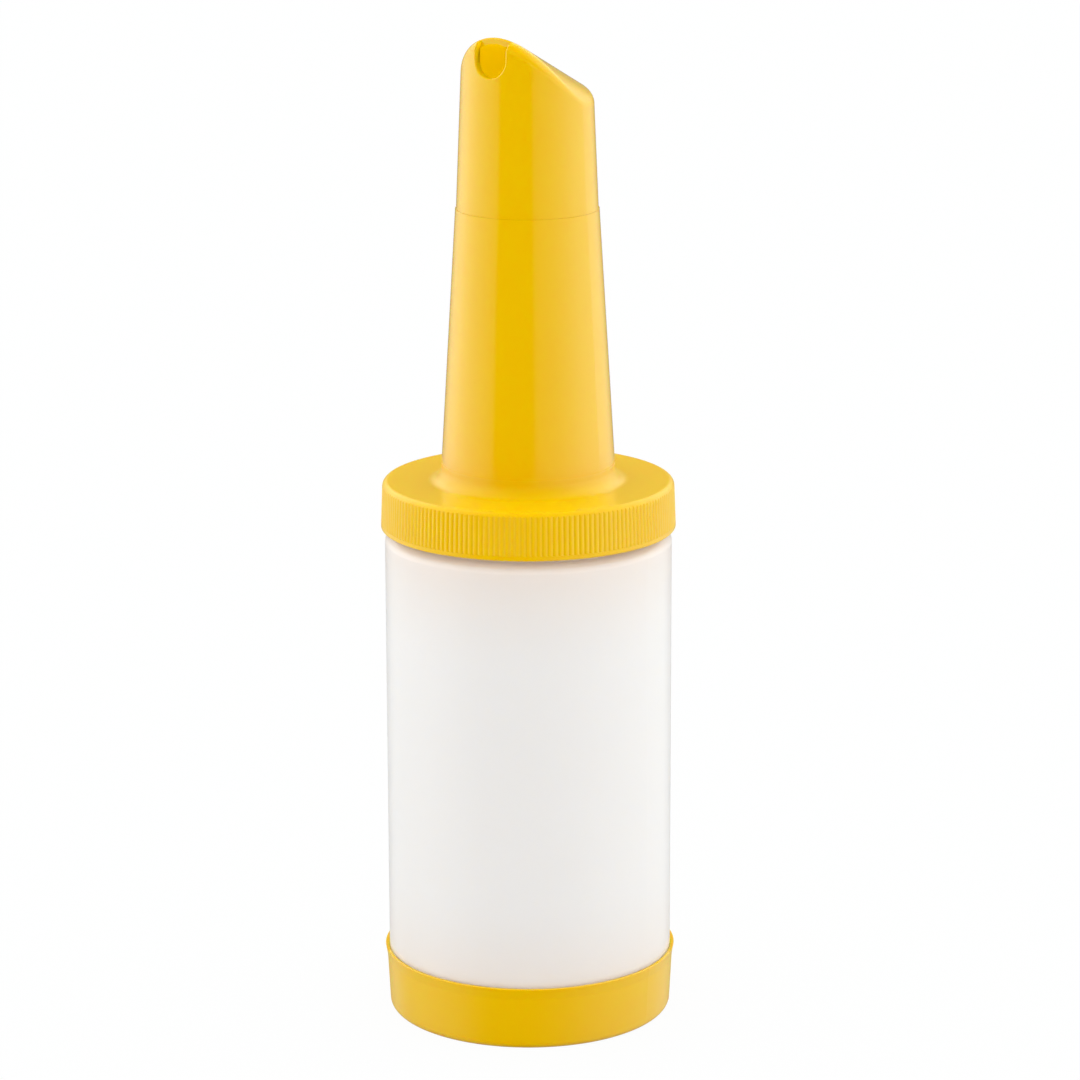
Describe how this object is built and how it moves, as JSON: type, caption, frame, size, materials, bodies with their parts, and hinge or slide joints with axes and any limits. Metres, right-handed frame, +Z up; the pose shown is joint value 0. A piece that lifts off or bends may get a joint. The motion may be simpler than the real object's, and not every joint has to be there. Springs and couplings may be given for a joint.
{
  "type": "liquid pourer",
  "caption": "Upright round pour bottle: translucent jar in a press-on storage lid, ribbed screw neck, and a tapered spout with an arched roof and a rounded outlet.",
  "frame": {"origin": "centre of the flat underside of the storage lid, on the floor", "axes": "+Z up along the bottle's turning axis; -Y is the side that the spout's outlet faces; +X completes the frame"},
  "size_m": [0.0948, 0.0948, 0.3203],
  "materials": {
    "yellow_plastic": "glossy moulded polypropylene",
    "clouded_plastic": "clouded translucent polyethylene, satin",
    "seal_foam": "soft white liner, matt"
  },
  "bodies": {
    "base_lid": {"base_lid": "yellow_plastic"},
    "jar": {"jar": "clouded_plastic"},
    "seal": {"seal_ring": "seal_foam"},
    "neck": {"neck": "yellow_plastic"},
    "spout": {"spout": "yellow_plastic"}
  },
  "joints": [
    {"name": "jar_lift", "type": "slide", "parent": "base_lid", "child": "jar", "axis": [0, 0, 1], "range_m": [0, 0.04]},
    {"name": "thread_lift", "type": "slide", "parent": "jar", "child": "seal", "axis": [0, 0, 1], "range_m": [0, 0.00626]},
    {"name": "neck_turn", "type": "hinge", "parent": "seal", "child": "neck", "pos_m": [0, 0, 0.17], "axis": [0, 0, 1], "range_deg": [0, 450]},
    {"name": "spout_pull", "type": "slide", "parent": "neck", "child": "spout", "axis": [0, 0, 1], "range_m": [0, 0.04]}
  ],
  "couplings": [
    {"joint": "thread_lift", "follows": "neck_turn", "m_per_rad": 0.00079577}
  ]
}
